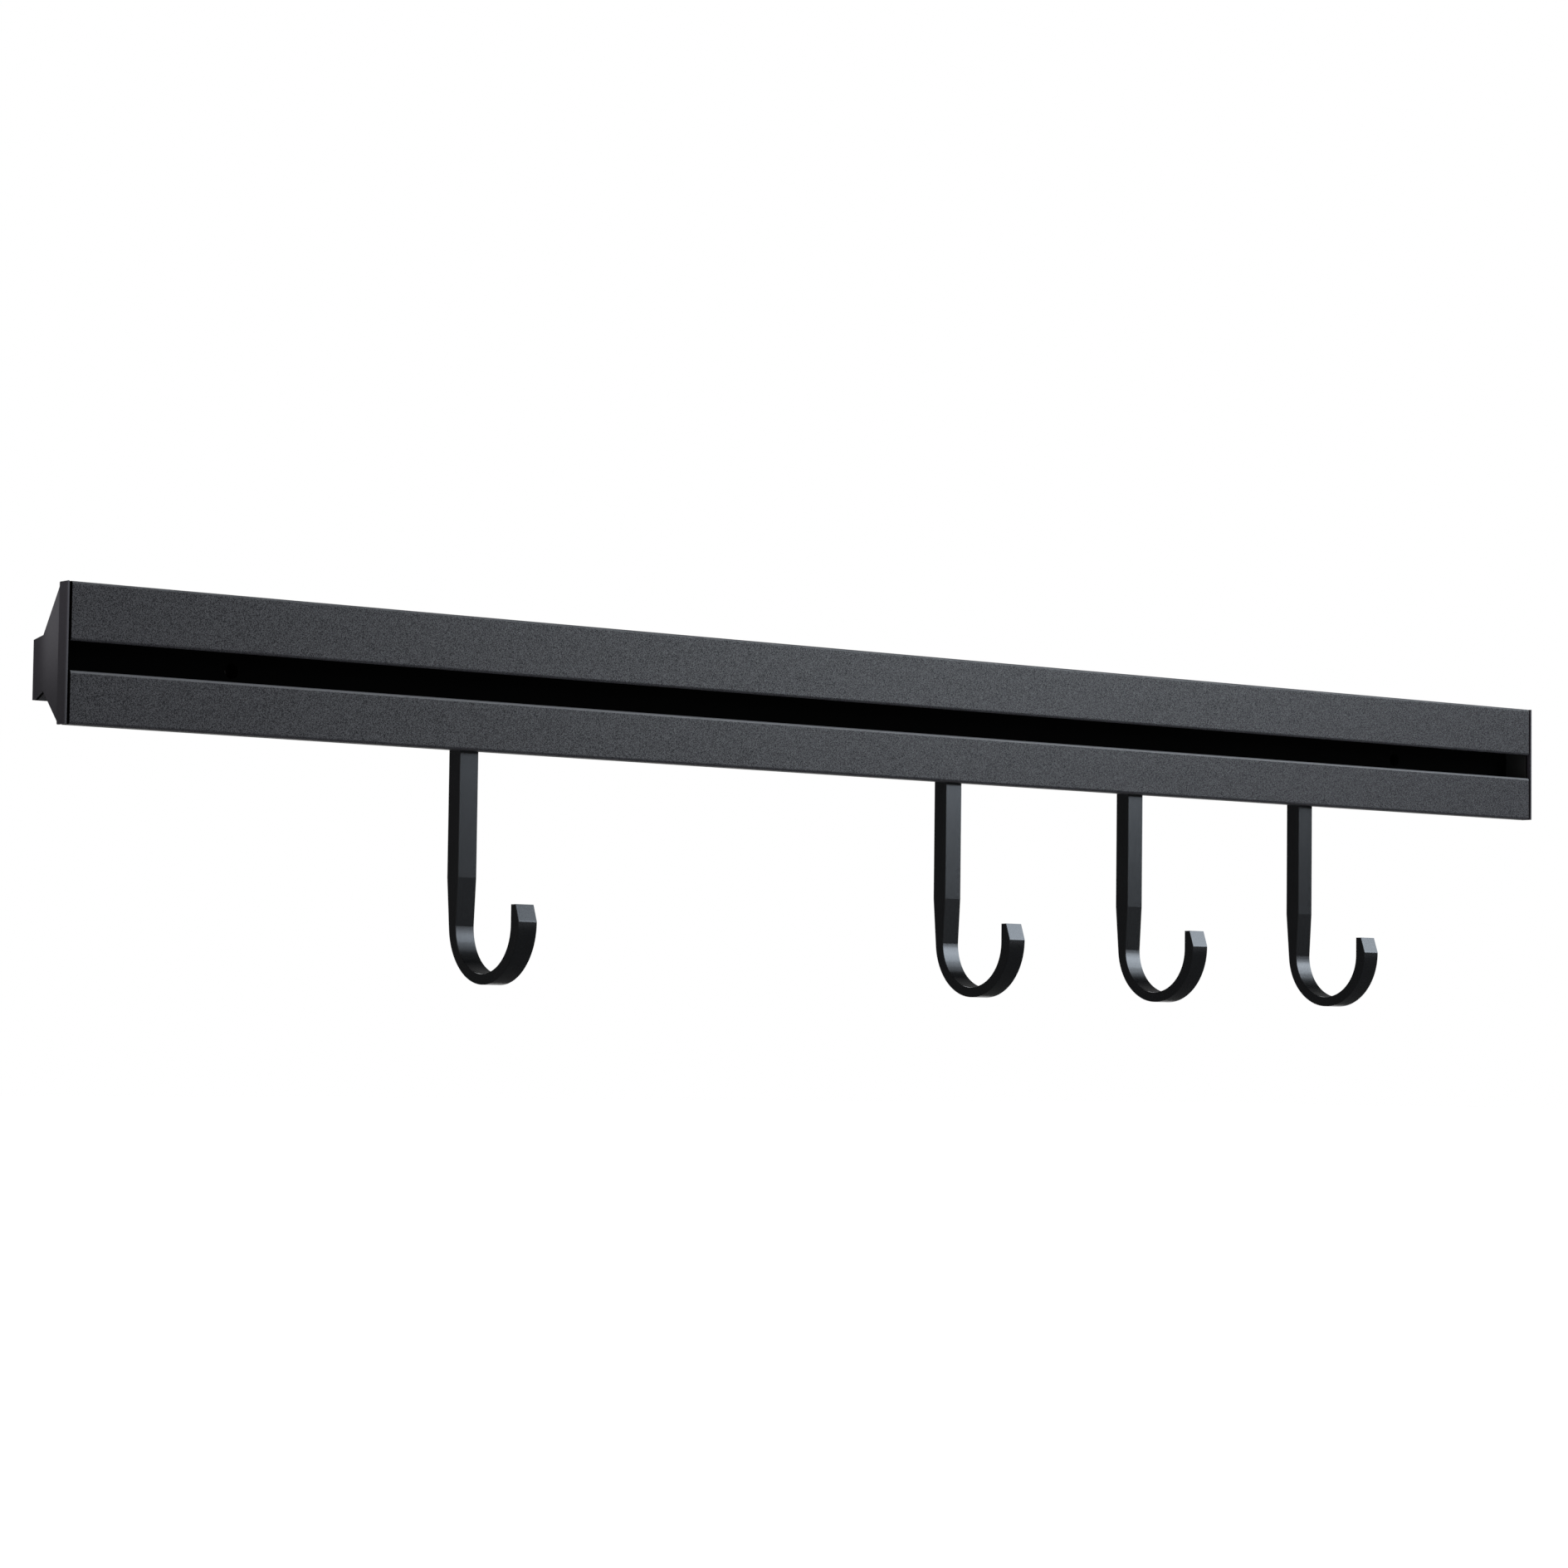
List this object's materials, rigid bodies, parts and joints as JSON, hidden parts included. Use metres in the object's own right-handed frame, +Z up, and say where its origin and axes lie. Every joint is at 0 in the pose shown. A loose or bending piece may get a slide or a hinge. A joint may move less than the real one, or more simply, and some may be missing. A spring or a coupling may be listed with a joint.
{
  "type": "kitchen utensil rail",
  "caption": "Wall rail for kitchen utensils: a slotted black profile with end caps, and J hooks that slide along a channel under it.",
  "frame": {"origin": "on the wall's face, midway between the two wall screw holes, at the middle of the front slot's height", "axes": "+X along the rail, to the right as seen from the front; +Y into the wall; +Z up"},
  "size_m": [0.6, 0.0455, 0.1095],
  "materials": {
    "profile": "black powder coat with a fine sparkle",
    "caps": "moulded, matt black",
    "hooks": "satin black paint"
  },
  "bodies": {
    "rail": {"rail_profile": "profile", "end_cap_left": "caps", "end_cap_right": "caps"},
    "hook_1": {"hook_1": "hooks"},
    "hook_2": {"hook_2": "hooks"},
    "hook_3": {"hook_3": "hooks"},
    "hook_4": {"hook_4": "hooks"}
  },
  "joints": [
    {"name": "hook_1_slide", "type": "slide", "parent": "rail", "child": "hook_1", "axis": [1, 0, 0], "range_m": [-0.133, 0.091]},
    {"name": "hook_2_slide", "type": "slide", "parent": "rail", "child": "hook_2", "axis": [1, 0, 0], "range_m": [-0.091, 0.036]},
    {"name": "hook_3_slide", "type": "slide", "parent": "rail", "child": "hook_3", "axis": [1, 0, 0], "range_m": [-0.036, 0.036]},
    {"name": "hook_4_slide", "type": "slide", "parent": "rail", "child": "hook_4", "axis": [1, 0, 0], "range_m": [-0.036, 0.105]}
  ]
}
